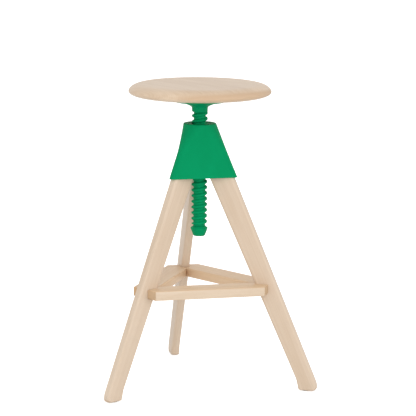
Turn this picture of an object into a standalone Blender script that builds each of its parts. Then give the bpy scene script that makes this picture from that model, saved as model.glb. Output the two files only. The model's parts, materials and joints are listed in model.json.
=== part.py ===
"""Adjustable swivel stool: round wooden seat on a coarse screw spindle, moulded hub, three splayed
wooden legs tied by a triangular footrest.  Units are metres, +Z is up, the floor is z = 0.

Every piece hangs on an empty that stands on the spindle's axis.  A leg, and what is fixed to it, is
drawn in the leg's own directions: +X runs outwards along the leg's plane, Y is across its thickness.
"""
import math

import bmesh
import bpy
from mathutils import Vector

# ---- driving dimensions -------------------------------------------------------------------------
AXIS_Y = -0.0600            # the spindle's axis lies in front of the box centre of the three legs
LEG_AZIMUTHS = {"front_left": 210.0, "front_right": 330.0, "back": 90.0}
RAILS = {"rail_left": 90.0, "rail_front": 210.0, "rail_right": 330.0}    # each starts at this leg
GAP = 0.0003                # clearance between pieces that touch
OPEN_GAP = 0.0004           # clearance of a leg in its socket

SEAT_RADIUS = 0.1600
SEAT_TOP = 0.6870
SEAT_THICKNESS = 0.0280
SEAT_WIDEST = 0.0106        # height of the widest girth over the seat's underside
SEAT_ROUND_ABOVE = 0.0330   # how far the rounding reaches in from the girth, above it
SEAT_ROUND_BELOW = 0.0290   # and below it
SEAT_SIDES = 56

HUB_TOP = 0.5979
HUB_BOTTOM = 0.4789
HUB_TOP_RADIUS = 0.0366
HUB_CORNER_REACH = 0.0885   # axis to the rounded corner, at the bottom
HUB_CORNER_RADIUS = 0.0115
HUB_ROUND_SHARE = 0.55      # share of the height over which the round top turns into a triangle
HUB_ROUND_POWER = 1.5
HUB_WALL = 0.0040
HUB_TUBE_RADIUS = 0.0272    # sleeve round the spindle nut
HUB_EDGE = 0.0015
SOCKET_WALL = 0.0036

LEG_THICKNESS = 0.0200
LEG_EDGE_RADIUS = 0.0060
LEG_OUTER_AT_HUB = 0.0810   # distance of the outer edge from the axis, at the hub's lower rim
LEG_INNER_AT_HUB = 0.0240
LEG_OUTER_SPLAY = 0.429     # outwards per metre of drop
LEG_INNER_SPLAY = 0.460
LEG_TOP = 0.5600
LEG_TENON_INNER = 0.0260    # inner edge of the part of the leg inside the hub
LEG_SHOULDER = 0.4812
LEG_FOOT = 0.0015           # the wood ends this far above the floor
TOE_BEND_TOP = 0.0250       # below this height the outer edge turns upright
TOE_HEIGHT = 0.0090         # below this one it is rounded under the foot
HEEL_TOP = 0.0270           # below this height the inner edge swells inwards
HEEL_SWELL = 0.0058
HEEL_POWER = 1.2

RAIL_OUTER = 0.1150         # distance of the rail's outer face from the axis
RAIL_INNER = 0.0610
RAIL_TOP = 0.2402
RAIL_THICKNESS = 0.0208
RAIL_FACET = 0.1652         # the acute end is cut square to the leg at this distance
RAIL_EDGE = 0.0020
DOWEL_RADIUS = 0.0040
DOWEL_HALF_LENGTH = 0.0260
DOWEL_PLACES = (0.1465, 0.1585)

PITCH = 0.0130
THREAD_PHASE_Z = 0.6061     # a ridge starts at this height on the +X side
THREAD_MAJOR = 0.0178
THREAD_MINOR = 0.0134
THREAD_BOTTOM = 0.3662
THREAD_TOP = 0.6250
RIDGE = (0.000, 0.350)      # share of the pitch taken by the ridge's crest
GROOVE = (0.575, 0.775)     # and by the groove's floor
THREAD_SIDES = 20
THREAD_RUNOUT = 0.0030
SPINDLE_BOTTOM = 0.3643
FLANGE_RADIUS = 0.0620
FLANGE_FLARE = ((0.0178, 0.6310), (0.0184, 0.6336), (0.0199, 0.6356), (0.0230, 0.6374),
                (0.0272, 0.6393), (0.0330, 0.6415), (0.0430, 0.6440), (0.0590, 0.6466))
FLANGE_EDGE = 0.0025

NUT_RADIUS = 0.0221
NUT_BOTTOM = 0.4940
NUT_THREAD_BOTTOM = 0.5370
NUT_THREAD_TOP = 0.5950
NUT_TOP = 0.5971
NUT_COLLAR_RADIUS = 0.0250
NUT_COLLAR_BOTTOM = 0.5925
NUT_BORE = 0.0185
NUT_CLEARANCE = 0.0005
NUT_FLANK_CLEARANCE = 0.00045
KEY_HALF_WIDTH = 0.0030
KEY_REACH = 0.0243
KEY_TOP = 0.5900
KEY_BOTTOM = 0.5000

STOP_RADIUS = 0.0196
STOP_TOP = 0.3640
STOP_WIDEST = 0.3593
STOP_BOTTOM = 0.3410
STOP_TIP_RADIUS = 0.0122
STOP_SEAT_Z = 0.3490        # the washer bears on this face
STOP_COUNTERBORE = 0.0080

WOOD_SCREW = {"shank": 0.0020, "head": 0.0042, "head_height": 0.0026}
SEAT_SCREW = {"shank": 0.0023, "head": 0.0046, "head_height": 0.0030}
STOP_SCREW = {"shank": 0.0030, "head": 0.0050, "head_height": 0.0040}
SEAT_SCREW_RING = 0.0460
SEAT_SCREW_HEAD_Z = 0.6520  # upper face of the head
SEAT_SCREW_LENGTH = 0.0220
LEG_SCREW_PLACES = ((0.0400, 0.5000), (0.0360, 0.5300))
LEG_SCREW_LENGTH = 0.0160
STOP_SCREW_LENGTH = 0.0330
SCREW_SIDES = 12

GLIDE_SIDES = 20
GLIDE_RADIUS = 0.0085
GLIDE_THICKNESS = 0.0040
GLIDE_STEM_RADIUS = 0.0025
GLIDE_STEM_LENGTH = 0.0120

BEECH = (0.716, 0.571, 0.434)
GREEN = (0.004, 0.296, 0.114)
STEEL = (0.560, 0.560, 0.570)
NYLON = (0.040, 0.200, 0.090)
GREY = (0.450, 0.440, 0.420)


# ---- helpers ------------------------------------------------------------------------------------
def clear_scene():
    for thing in list(bpy.data.objects):
        bpy.data.objects.remove(thing, do_unlink=True)


def new_material(name, color, roughness, metallic=0.0):
    material = bpy.data.materials.new(name)
    material.use_nodes = True
    shader = material.node_tree.nodes["Principled BSDF"]
    shader.inputs["Base Color"].default_value = (*color, 1.0)
    shader.inputs["Roughness"].default_value = roughness
    shader.inputs["Metallic"].default_value = metallic
    return material


def add_object(name, bm, parent, finish=None, azimuth=0.0):
    """Turn a bmesh into an object; without a finish it is a cutter, which is never a piece."""
    bmesh.ops.remove_doubles(bm, verts=bm.verts, dist=1e-7)
    bmesh.ops.recalc_face_normals(bm, faces=bm.faces)
    mesh = bpy.data.meshes.new(name)
    bm.to_mesh(mesh)
    bm.free()
    thing = bpy.data.objects.new(name, mesh)
    thing.parent = parent
    thing.rotation_euler.z = math.radians(azimuth)
    bpy.context.scene.collection.objects.link(thing)
    if finish is None:
        thing.hide_render = True
        thing.display_type = "WIRE"
    else:
        mesh.materials.append(new_material(name, *finish))
        mesh.shade_smooth()
        mesh.set_sharp_from_angle(angle=math.radians(35))
    return thing


def cut(thing, cutter, operation="DIFFERENCE"):
    modifier = thing.modifiers.new(f"{operation.lower()}_{cutter.name}", "BOOLEAN")
    modifier.operation = operation
    modifier.solver = "EXACT"
    modifier.object = cutter


def skin(bm, rings, close=True):
    """Bridge rings of equally many points, and cap both ends."""
    loops = [[bm.verts.new(point) for point in ring] for ring in rings]
    count = len(loops[0])
    for low, high in zip(loops, loops[1:]):
        for i in range(count):
            j = (i + 1) % count
            bm.faces.new((low[i], low[j], high[j], high[i]))
    if close:
        bm.faces.new(loops[0])
        bm.faces.new(loops[-1])


def circle(radius, z, sides, center=(0.0, 0.0)):
    return [Vector((center[0] + radius * math.cos(2 * math.pi * i / sides),
                    center[1] + radius * math.sin(2 * math.pi * i / sides), z))
            for i in range(sides)]


def turned(profile, sides, closed_ends=True):
    """A body of revolution about Z through (radius, height) points."""
    bm = bmesh.new()
    skin(bm, [circle(r, z, sides) for r, z in profile], close=closed_ends)
    return bm


def cylinder(radius, z_low, z_high, sides):
    return turned(((radius, z_low), (radius, z_high)), sides)


def laid(bm, origin, direction):
    """Turn what was drawn along +Z so that it runs along a direction, and place it."""
    turn = Vector((0, 0, 1)).rotation_difference(Vector(direction)).to_matrix().to_4x4()
    bm.transform(turn)
    bmesh.ops.translate(bm, verts=bm.verts, vec=Vector(origin))
    return bm


def box(low, high):
    bm = bmesh.new()
    corners = ((low[0], low[1]), (high[0], low[1]), (high[0], high[1]), (low[0], high[1]))
    skin(bm, [[Vector((x, y, z)) for x, y in corners] for z in (low[2], high[2])])
    return bm


def screw(size, length):
    """A pan-headed screw along +Z: the head's upper face is z = 0 and the shank runs upwards."""
    tip = size["shank"] * 0.4
    return turned(((size["head"] * 0.70, -size["head_height"]),
                   (size["head"], -size["head_height"] * 0.55),
                   (size["head"], 0.0), (size["shank"], 0.0),
                   (size["shank"], length - 2 * size["shank"]), (tip, length)), SCREW_SIDES)


# ---- thread -------------------------------------------------------------------------------------
def thread_radius(share, ridge, groove, major, minor):
    """Radius at a share of the pitch: ridge crest, flank, groove floor, flank."""
    share %= 1.0
    if share <= ridge[1] or share >= 1.0 + ridge[0]:
        return major
    if share < groove[0]:
        return major + (minor - major) * (share - ridge[1]) / (groove[0] - ridge[1])
    if share <= groove[1]:
        return minor
    return minor + (major - minor) * (share - groove[1]) / (1.0 + ridge[0] - groove[1])


def thread_skin(bm, z_low, z_high, ridge, groove, radii, ends):
    """An open helical surface between two heights; its radius runs out to that of each end."""
    shares = (ridge[0], ridge[1], groove[0], groove[1])
    turns_down = math.ceil((THREAD_PHASE_Z - z_low) / PITCH) + 2
    turns = math.ceil((z_high - z_low) / PITCH) + 4
    columns = []
    for i in range(THREAD_SIDES):
        angle = 2 * math.pi * i / THREAD_SIDES
        column = []
        for row in range(4 * turns):
            share = shares[row % 4]
            z = THREAD_PHASE_Z + PITCH * (row // 4 - turns_down + share + i / THREAD_SIDES)
            z = min(max(z, z_low), z_high)
            at = (z - THREAD_PHASE_Z) / PITCH - i / THREAD_SIDES
            radius = thread_radius(round(at, 9), ridge, groove, *radii)
            low = min(1.0, (z - z_low) / THREAD_RUNOUT)
            high = min(1.0, (z_high - z) / THREAD_RUNOUT)
            radius = ends[0] + (radius - ends[0]) * low
            radius = ends[1] + (radius - ends[1]) * high
            column.append(bm.verts.new((radius * math.cos(angle), radius * math.sin(angle), z)))
        columns.append(column)
    for i in range(THREAD_SIDES):
        here, there = columns[i], columns[(i + 1) % THREAD_SIDES]
        shift = 4 if i == THREAD_SIDES - 1 else 0
        for row in range(4 * turns - 1 - shift):
            a, b = here[row], here[row + 1]
            c, d = there[row + shift + 1], there[row + shift]
            if (a.co - b.co).length > 1e-9 or (c.co - d.co).length > 1e-9:
                bm.faces.new((a, b, c))
                bm.faces.new((a, c, d))
    bmesh.ops.remove_doubles(bm, verts=bm.verts, dist=1e-7)
    bmesh.ops.dissolve_degenerate(bm, edges=bm.edges, dist=1e-8)


# ---- seat and spindle ---------------------------------------------------------------------------
def seat_screw_places():
    return [(SEAT_SCREW_RING * math.cos(math.radians(45 + 90 * i)),
             SEAT_SCREW_RING * math.sin(math.radians(45 + 90 * i))) for i in range(4)]


def make_seat(parent):
    bottom = SEAT_TOP - SEAT_THICKNESS
    girth = bottom + SEAT_WIDEST
    rim = []
    for step in range(-5, 6):
        angle = math.radians(18 * step)
        inward = SEAT_ROUND_BELOW if step < 0 else SEAT_ROUND_ABOVE
        rise = SEAT_WIDEST if step < 0 else SEAT_TOP - girth
        rim.append((SEAT_RADIUS - inward * (1 - math.cos(angle)), girth + rise * math.sin(angle)))
    seat = add_object("seat", turned(rim, SEAT_SIDES), parent, (BEECH, 0.45))
    depth = SEAT_SCREW_HEAD_Z + SEAT_SCREW_LENGTH + GAP
    for i, (x, y) in enumerate(seat_screw_places()):
        hole = cylinder(SEAT_SCREW["shank"] + GAP, bottom - 0.005, depth, SCREW_SIDES)
        cutter = add_object(f"cut_seat_hole_{i}", laid(hole, (x, y, 0), (0, 0, 1)), parent)
        cut(seat, cutter)
    for i, (x, y) in enumerate(seat_screw_places()):
        body = laid(screw(SEAT_SCREW, SEAT_SCREW_LENGTH), (x, y, SEAT_SCREW_HEAD_Z), (0, 0, 1))
        add_object(f"seat_screw_{i + 1}", body, parent, (STEEL, 0.3, 1.0))


def make_spindle(parent):
    flange_top = SEAT_TOP - SEAT_THICKNESS - GAP
    bm = bmesh.new()
    thread_skin(bm, THREAD_BOTTOM, THREAD_TOP, RIDGE, GROOVE, (THREAD_MAJOR, THREAD_MINOR),
                (THREAD_MINOR, THREAD_MAJOR))
    tip = [circle(THREAD_MINOR, z, THREAD_SIDES) for z in (SPINDLE_BOTTOM, THREAD_BOTTOM)]
    skin(bm, tip, close=False)
    flare = ((THREAD_MAJOR, THREAD_TOP),) + FLANGE_FLARE
    flare += ((FLANGE_RADIUS, FLANGE_FLARE[-1][1] + FLANGE_EDGE), (FLANGE_RADIUS, flange_top))
    skin(bm, [circle(r, z, THREAD_SIDES) for r, z in flare], close=False)
    for radius, z in ((THREAD_MINOR, SPINDLE_BOTTOM), (FLANGE_RADIUS, flange_top)):
        bm.faces.new([bm.verts.new(point) for point in circle(radius, z, THREAD_SIDES)])
    spindle = add_object("spindle", bm, parent, (GREEN, 0.45))
    hole = cylinder(STOP_SCREW["shank"] + GAP, SPINDLE_BOTTOM - 0.005,
                    STOP_SEAT_Z + STOP_SCREW_LENGTH + GAP, SCREW_SIDES)
    cut(spindle, add_object("cut_spindle_end", hole, parent))
    for i, (x, y) in enumerate(seat_screw_places()):
        hole = turned(((SEAT_SCREW["head"] + GAP, FLANGE_FLARE[0][1]),
                       (SEAT_SCREW["head"] + GAP, SEAT_SCREW_HEAD_Z + GAP),
                       (SEAT_SCREW["shank"] + GAP, SEAT_SCREW_HEAD_Z + GAP),
                       (SEAT_SCREW["shank"] + GAP, flange_top + 0.005)), SCREW_SIDES)
        cutter = add_object(f"cut_flange_{i}", laid(hole, (x, y, 0), (0, 0, 1)), parent)
        cut(spindle, cutter)


def make_end_stop(parent):
    profile = ((STOP_COUNTERBORE, STOP_BOTTOM), (STOP_TIP_RADIUS, STOP_BOTTOM),
               (0.0137, 0.3430), (0.0188, 0.3568), (STOP_RADIUS, STOP_WIDEST - 0.0008),
               (STOP_RADIUS, STOP_WIDEST), (THREAD_MINOR + GAP, STOP_TOP),
               (STOP_SCREW["shank"] + GAP, STOP_TOP), (STOP_SCREW["shank"] + GAP, STOP_SEAT_Z),
               (STOP_COUNTERBORE, STOP_SEAT_Z), (STOP_COUNTERBORE, STOP_BOTTOM))
    stop = turned(profile, THREAD_SIDES, closed_ends=False)
    add_object("end_stop", stop, parent, (GREEN, 0.45))
    washer_top, washer_bottom = STOP_SEAT_Z - GAP, STOP_SEAT_Z - GAP - 0.0012
    hole, rim = STOP_SCREW["shank"] + GAP, STOP_COUNTERBORE - 0.0008
    washer = turned(((hole, washer_bottom), (rim, washer_bottom), (rim, washer_top),
                     (hole, washer_top), (hole, washer_bottom)), THREAD_SIDES, closed_ends=False)
    add_object("end_stop_washer", washer, parent, (STEEL, 0.3, 1.0))
    head_z = washer_bottom - GAP
    length = STOP_SEAT_Z + STOP_SCREW_LENGTH - head_z
    body = laid(screw(STOP_SCREW, length), (0, 0, head_z), (0, 0, 1))
    add_object("end_stop_screw", body, parent, (STEEL, 0.3, 1.0))


def make_nut(parent):
    slope = (GROOVE[0] - RIDGE[1]) / (THREAD_MAJOR - THREAD_MINOR)
    spread = NUT_FLANK_CLEARANCE / PITCH - slope * NUT_CLEARANCE
    ridge = (RIDGE[0] - spread, RIDGE[1] + spread)
    groove = (GROOVE[0] + spread, GROOVE[1] - spread)
    radii = (THREAD_MAJOR + NUT_CLEARANCE, THREAD_MINOR + NUT_CLEARANCE)
    bm = bmesh.new()
    thread_skin(bm, NUT_THREAD_BOTTOM, NUT_THREAD_TOP, ridge, groove, radii, (NUT_BORE, NUT_BORE))
    shell = ((NUT_BORE, NUT_THREAD_BOTTOM), (NUT_BORE, NUT_BOTTOM), (NUT_RADIUS, NUT_BOTTOM),
             (NUT_RADIUS, NUT_COLLAR_BOTTOM), (NUT_COLLAR_RADIUS, NUT_COLLAR_BOTTOM),
             (NUT_COLLAR_RADIUS, NUT_TOP), (NUT_BORE, NUT_TOP), (NUT_BORE, NUT_THREAD_TOP))
    skin(bm, [circle(r, z, THREAD_SIDES) for r, z in shell], close=False)
    nut = add_object("spindle_nut", bm, parent, (NYLON, 0.5))
    for i in range(3):
        key = box((NUT_BORE + 0.0015, -KEY_HALF_WIDTH, KEY_BOTTOM), (KEY_REACH, KEY_HALF_WIDTH, KEY_TOP))
        cut(nut, add_object(f"join_key_{i}", key, parent, azimuth=30 + 120 * i), "UNION")


# ---- hub ----------------------------------------------------------------------------------------
def hub_ring(z, inset=0.0):
    """A round at the top that turns into a triangle with rounded corners over the legs."""
    share = (HUB_TOP - z) / (HUB_TOP - HUB_BOTTOM)
    share = min(max(share, 0.0), 1.2)
    fade = max(0.0, 1.0 - share / HUB_ROUND_SHARE) ** HUB_ROUND_POWER
    corner = HUB_CORNER_RADIUS + (HUB_TOP_RADIUS - HUB_CORNER_RADIUS) * fade
    reach = HUB_TOP_RADIUS + (HUB_CORNER_REACH - HUB_TOP_RADIUS) * share
    points = []
    for azimuth in LEG_AZIMUTHS.values():
        middle = math.radians(azimuth)
        center = Vector((math.cos(middle), math.sin(middle), 0)) * (reach - corner)
        for k in range(9):
            angle = middle + math.radians(-60 + 15 * k)
            arm = Vector((math.cos(angle), math.sin(angle), 0)) * (corner - inset)
            points.append(center + arm + Vector((0, 0, z)))
    return points


def hub_loft(levels, inset=0.0):
    bm = bmesh.new()
    skin(bm, [hub_ring(z, inset) for z in levels])
    return bm


def make_hub(parent):
    height = HUB_TOP - HUB_BOTTOM
    shares = (1.0, 0.85, 0.70, 0.55, 0.45, 0.35, 0.25, 0.16, 0.08, HUB_EDGE / height)
    bm = bmesh.new()
    rings = [hub_ring(HUB_TOP - share * height) for share in shares]
    rim = [Vector((p.x, p.y, HUB_TOP)) for p in hub_ring(HUB_TOP, HUB_EDGE)]
    skin(bm, rings + [rim])
    hub = add_object("hub", bm, parent, (GREEN, 0.45))
    levels = [HUB_TOP - share * height for share in (1.1, 0.8, 0.6, 0.45, 0.3, 0.18, 0.09)]
    hollow = add_object("cut_hollow", hub_loft(levels, HUB_WALL), parent)
    sleeve = cylinder(HUB_TUBE_RADIUS, HUB_BOTTOM - 0.03, HUB_TOP, THREAD_SIDES)
    cut(hollow, add_object("keep_sleeve", sleeve, parent))
    half = LEG_THICKNESS / 2 + OPEN_GAP + SOCKET_WALL
    for name, azimuth in LEG_AZIMUTHS.items():
        slab = box((0.0, -half, HUB_BOTTOM - 0.03), (HUB_CORNER_REACH + 0.03, half, HUB_TOP))
        cut(hollow, add_object(f"keep_socket_{name}", slab, parent, azimuth=azimuth))
    cut(hub, hollow)
    for name, azimuth in LEG_AZIMUTHS.items():
        pocket = add_object(f"cut_socket_{name}", leg_body(OPEN_GAP), parent, azimuth=azimuth)
        cut(hub, pocket)
        for i, (reach, z) in enumerate(LEG_SCREW_PLACES):
            hole = laid(cylinder(WOOD_SCREW["shank"] + GAP, 0.0, 0.012, SCREW_SIDES),
                        (reach, LEG_THICKNESS / 2 - 0.004, z), (0, 1, 0))
            cut(hub, add_object(f"cut_screw_{name}_{i}", hole, parent, azimuth=azimuth))
    bore = turned(((NUT_RADIUS + GAP, HUB_BOTTOM - 0.01), (NUT_RADIUS + GAP, NUT_COLLAR_BOTTOM - GAP),
                   (NUT_COLLAR_RADIUS + GAP, NUT_COLLAR_BOTTOM - GAP),
                   (NUT_COLLAR_RADIUS + GAP, HUB_TOP + 0.01)), THREAD_SIDES)
    cut(hub, add_object("cut_bore", bore, parent))
    for i in range(3):
        slot = box((0.015, -KEY_HALF_WIDTH - GAP, HUB_BOTTOM - 0.01),
                   (KEY_REACH + GAP, KEY_HALF_WIDTH + GAP, NUT_COLLAR_BOTTOM))
        cut(hub, add_object(f"cut_key_{i}", slot, parent, azimuth=30 + 120 * i))


# ---- legs ---------------------------------------------------------------------------------------
def leg_outer(z):
    """Distance of the leg's outer edge from the axis, down to the rounded toe."""
    level = max(z, TOE_BEND_TOP)
    straight = LEG_OUTER_AT_HUB + LEG_OUTER_SPLAY * (HUB_BOTTOM - level)
    drop = TOE_BEND_TOP - max(min(z, TOE_BEND_TOP), TOE_HEIGHT)
    bent = straight + LEG_OUTER_SPLAY * (drop - drop ** 2 / (2 * (TOE_BEND_TOP - TOE_HEIGHT)))
    radius = TOE_HEIGHT - LEG_FOOT
    below = min(max(0.0, TOE_HEIGHT - z), radius)
    return bent - radius + math.sqrt(radius ** 2 - below ** 2)


def leg_inner(z):
    straight = LEG_INNER_AT_HUB + LEG_INNER_SPLAY * (HUB_BOTTOM - z)
    return straight - HEEL_SWELL * max(0.0, 1.0 - z / HEEL_TOP) ** HEEL_POWER


def rounded_section(inner, outer, half, radius, z):
    """A rectangle with rounded corners, going once round."""
    centers = ((outer - radius, half - radius, 0), (inner + radius, half - radius, 90),
               (inner + radius, radius - half, 180), (outer - radius, radius - half, 270))
    return [Vector((x + radius * math.cos(math.radians(start + 30 * k)),
                    y + radius * math.sin(math.radians(start + 30 * k)), z))
            for x, y, start in centers for k in range(4)]


def leg_body(grow=0.0):
    """The leg from foot to tenon; grown, it is the cutter for its socket."""
    levels = [0.470] if grow else [LEG_FOOT, 0.0030, 0.0055, 0.0090, 0.0140, 0.0190, HEEL_TOP]
    rings = [(z, leg_inner(z), leg_outer(z)) for z in levels + [LEG_SHOULDER + grow]]
    rings += [(z + grow, LEG_TENON_INNER, leg_outer(z)) for z in (LEG_SHOULDER + GAP, LEG_TOP)]
    bm = bmesh.new()
    half = LEG_THICKNESS / 2 + grow
    radius = LEG_EDGE_RADIUS - 2 * grow
    skin(bm, [rounded_section(inner - grow, outer + grow, half, radius, z)
              for z, inner, outer in rings])
    return bm


def make_legs(parent):
    foot_middle = (leg_inner(LEG_FOOT) + leg_outer(LEG_FOOT)) / 2
    for name, azimuth in LEG_AZIMUTHS.items():
        leg = add_object(f"leg_{name}", leg_body(), parent, (BEECH, 0.45), azimuth)
        for i, (reach, z) in enumerate(LEG_SCREW_PLACES):
            face = LEG_THICKNESS / 2
            head_y = face + OPEN_GAP + SOCKET_WALL + GAP
            hole = laid(cylinder(WOOD_SCREW["shank"] + GAP, 0.0, face + 0.0055, SCREW_SIDES),
                        (reach, face + 0.001, z), (0, -1, 0))
            cut(leg, add_object(f"cut_{name}_screw_{i}", hole, parent, azimuth=azimuth))
            body = laid(screw(WOOD_SCREW, LEG_SCREW_LENGTH), (reach, head_y, z), (0, -1, 0))
            add_object(f"leg_screw_{name}_{i + 1}", body, parent, (STEEL, 0.3, 1.0), azimuth)
        for i, reach in enumerate(DOWEL_PLACES):
            z = RAIL_TOP - RAIL_THICKNESS / 2
            hole = laid(cylinder(DOWEL_RADIUS + GAP, -0.015, 0.015, SCREW_SIDES), (reach, 0, z), (0, 1, 0))
            cut(leg, add_object(f"cut_{name}_dowel_{i}", hole, parent, azimuth=azimuth))
            half, tip = DOWEL_HALF_LENGTH, DOWEL_RADIUS - 0.001
            dowel = turned(((tip, -half), (DOWEL_RADIUS, 0.001 - half), (DOWEL_RADIUS, half - 0.001),
                            (tip, half)), SCREW_SIDES)
            add_object(f"dowel_{name}_{i + 1}", laid(dowel, (reach, 0, z), (0, 1, 0)), parent,
                       (BEECH, 0.6), azimuth)
        recess = turned(((GLIDE_RADIUS + GAP, -0.001), (GLIDE_RADIUS + GAP, GLIDE_THICKNESS + GAP),
                         (GLIDE_STEM_RADIUS + GAP, GLIDE_THICKNESS + GAP),
                         (GLIDE_STEM_RADIUS + GAP, GLIDE_THICKNESS + GLIDE_STEM_LENGTH + GAP)),
                        GLIDE_SIDES)
        cutter = laid(recess, (foot_middle, 0, 0), (0, 0, 1))
        cut(leg, add_object(f"cut_{name}_glide", cutter, parent, azimuth=azimuth))
        glide = turned(((GLIDE_RADIUS - 0.001, 0.0), (GLIDE_RADIUS, 0.001), (GLIDE_RADIUS, GLIDE_THICKNESS),
                        (GLIDE_STEM_RADIUS, GLIDE_THICKNESS),
                        (GLIDE_STEM_RADIUS, GLIDE_THICKNESS + GLIDE_STEM_LENGTH)), GLIDE_SIDES)
        add_object(f"glide_{name}", laid(glide, (foot_middle, 0, 0), (0, 0, 1)), parent,
                   (GREY, 0.6), azimuth)


# ---- footrest -----------------------------------------------------------------------------------
def rail_outline():
    """Half the rail's plan, in the directions of the leg where it starts (distance out, across)."""
    c, s = math.cos(math.radians(60)), math.sin(math.radians(60))
    mitre = GAP / 2
    return (((RAIL_INNER - mitre * s) / c, mitre), (RAIL_FACET, mitre),
            (RAIL_FACET, (RAIL_OUTER - RAIL_FACET * c) / s))


def mirrored(point):
    """A point in the starting leg's directions, mirrored to the leg 120 degrees further on."""
    x, y = point
    c, s = math.cos(math.radians(120)), math.sin(math.radians(120))
    return (c * x + s * y, s * x - c * y)


def at_mitre(edge):
    """Whether an edge lies in a plane where two rails meet in front of a leg."""
    across = [(vert.co.y, mirrored(vert.co.xy)[1]) for vert in edge.verts]
    return any(max(abs(y) for y in pair) < GAP for pair in zip(*across))


def leg_notch():
    """The room a leg takes on its way through the footrest."""
    bm = bmesh.new()
    skin(bm, [rounded_section(leg_inner(z) - GAP, leg_outer(z) + GAP, LEG_THICKNESS / 2 + GAP,
                              LEG_EDGE_RADIUS + GAP, z)
              for z in (RAIL_TOP - RAIL_THICKNESS - 0.01, RAIL_TOP + 0.01)])
    return bm


def make_rails(parent):
    half_plan = rail_outline()
    plan = list(half_plan) + [mirrored(p) for p in reversed(half_plan)]
    for name, azimuth in RAILS.items():
        bm = bmesh.new()
        skin(bm, [[Vector((x, y, z)) for x, y in plan] for z in (RAIL_TOP - RAIL_THICKNESS, RAIL_TOP)])
        edges = [edge for edge in bm.edges if not at_mitre(edge)]
        bmesh.ops.bevel(bm, geom=edges, offset=RAIL_EDGE, segments=1, affect="EDGES")
        rail = add_object(name, bm, parent, (BEECH, 0.45), azimuth)
        for turn in (0, 120):
            cut(rail, add_object(f"cut_{name}_leg_{turn}", leg_notch(), parent, azimuth=azimuth + turn))
        for i, reach in enumerate(DOWEL_PLACES):
            z = RAIL_TOP - RAIL_THICKNESS / 2
            start, depth = (reach, 0.0), DOWEL_HALF_LENGTH + GAP
            for side, (x, y) in enumerate((start, mirrored(start))):
                across = (0, 1) if side == 0 else mirrored((0, 1))
                hole = laid(cylinder(DOWEL_RADIUS + GAP, 0.0, depth, SCREW_SIDES), (x, y, z), (*across, 0))
                cut(rail, add_object(f"cut_{name}_{side}_{i}", hole, parent, azimuth=azimuth))


def main():
    clear_scene()
    axis = bpy.data.objects.new("spindle_axis", None)
    axis.location = (0.0, AXIS_Y, 0.0)
    bpy.context.scene.collection.objects.link(axis)
    make_seat(axis)
    make_spindle(axis)
    make_end_stop(axis)
    make_nut(axis)
    make_hub(axis)
    make_legs(axis)
    make_rails(axis)


main()
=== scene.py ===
"""Looks of the adjustable swivel stool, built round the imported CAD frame.

Lengths are metres.  Heights, radii and the spindle's axis are read from the frame.  A piece of a
leg or rail is drawn in that leg's own directions: +X outwards in the leg's plane, Y across it.
"""
import json
import math

import bmesh
import bpy
from mathutils import Matrix, Vector


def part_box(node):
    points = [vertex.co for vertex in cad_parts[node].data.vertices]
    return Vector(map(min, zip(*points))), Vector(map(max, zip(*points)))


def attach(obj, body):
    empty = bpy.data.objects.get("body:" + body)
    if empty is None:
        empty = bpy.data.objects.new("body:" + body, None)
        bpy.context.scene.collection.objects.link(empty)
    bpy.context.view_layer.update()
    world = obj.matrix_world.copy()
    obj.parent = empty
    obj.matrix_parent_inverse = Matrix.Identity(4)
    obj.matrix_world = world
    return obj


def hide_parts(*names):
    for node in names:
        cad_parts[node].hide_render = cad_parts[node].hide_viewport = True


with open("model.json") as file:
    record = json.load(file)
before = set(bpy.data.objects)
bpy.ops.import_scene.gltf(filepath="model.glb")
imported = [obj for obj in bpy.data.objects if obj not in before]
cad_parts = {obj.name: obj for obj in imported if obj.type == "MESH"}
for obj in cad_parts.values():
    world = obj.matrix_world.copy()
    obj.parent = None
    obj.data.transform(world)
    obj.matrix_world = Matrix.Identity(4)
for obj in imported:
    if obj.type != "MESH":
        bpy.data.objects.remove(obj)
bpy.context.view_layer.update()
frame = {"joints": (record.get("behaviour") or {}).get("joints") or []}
scene = bpy.context.scene

# ---- what the frame says ------------------------------------------------------------------------
HINGE = next(joint for joint in frame["joints"] if joint["type"] == "hinge")
AXIS = Vector((HINGE["pos_m"][0], HINGE["pos_m"][1], 0.0))
LEGS = {"front_left": 210.0, "front_right": 330.0, "back": 90.0}        # azimuths in degrees
RAILS = {"rail_left": 90.0, "rail_front": 210.0, "rail_right": 330.0}   # azimuth of the first leg


def turned_sizes(node):
    """Lowest height, highest height and radius of a round CAD node."""
    low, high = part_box(node)
    return low[2], high[2], (high[0] - low[0]) / 2


def middle(node):
    """The middle of a CAD node's box, from the spindle's axis at floor level."""
    low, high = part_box(node)
    return (Vector(low) + Vector(high)) / 2 - AXIS


SEAT_BOTTOM, SEAT_TOP, SEAT_RADIUS = turned_sizes("seat")
SPINDLE_BOTTOM, FLANGE_TOP, FLANGE_RADIUS = turned_sizes("spindle")
STOP_BOTTOM, STOP_TOP, STOP_RADIUS = turned_sizes("end_stop")
NUT_BOTTOM, NUT_TOP, NUT_COLLAR_RADIUS = turned_sizes("spindle_nut")
WASHER_BOTTOM, WASHER_TOP, WASHER_RADIUS = turned_sizes("end_stop_washer")
HUB_BOTTOM, HUB_TOP, _ = turned_sizes("hub")
LEG_FOOT, LEG_TOP, LEG_HALF = turned_sizes("leg_back")
RAIL_BOTTOM, RAIL_TOP, _ = turned_sizes("rail_front")
_, GLIDE_TOP, GLIDE_RADIUS = turned_sizes("glide_back")
GLIDE_REACH = middle("glide_back").y
HUB_CORNER_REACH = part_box("hub")[1][1] - AXIS.y
RAIL_OUTER = AXIS.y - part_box("rail_front")[0][1]
DOWEL_RADIUS = (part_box("dowel_back_1")[1][2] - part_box("dowel_back_1")[0][2]) / 2

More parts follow.
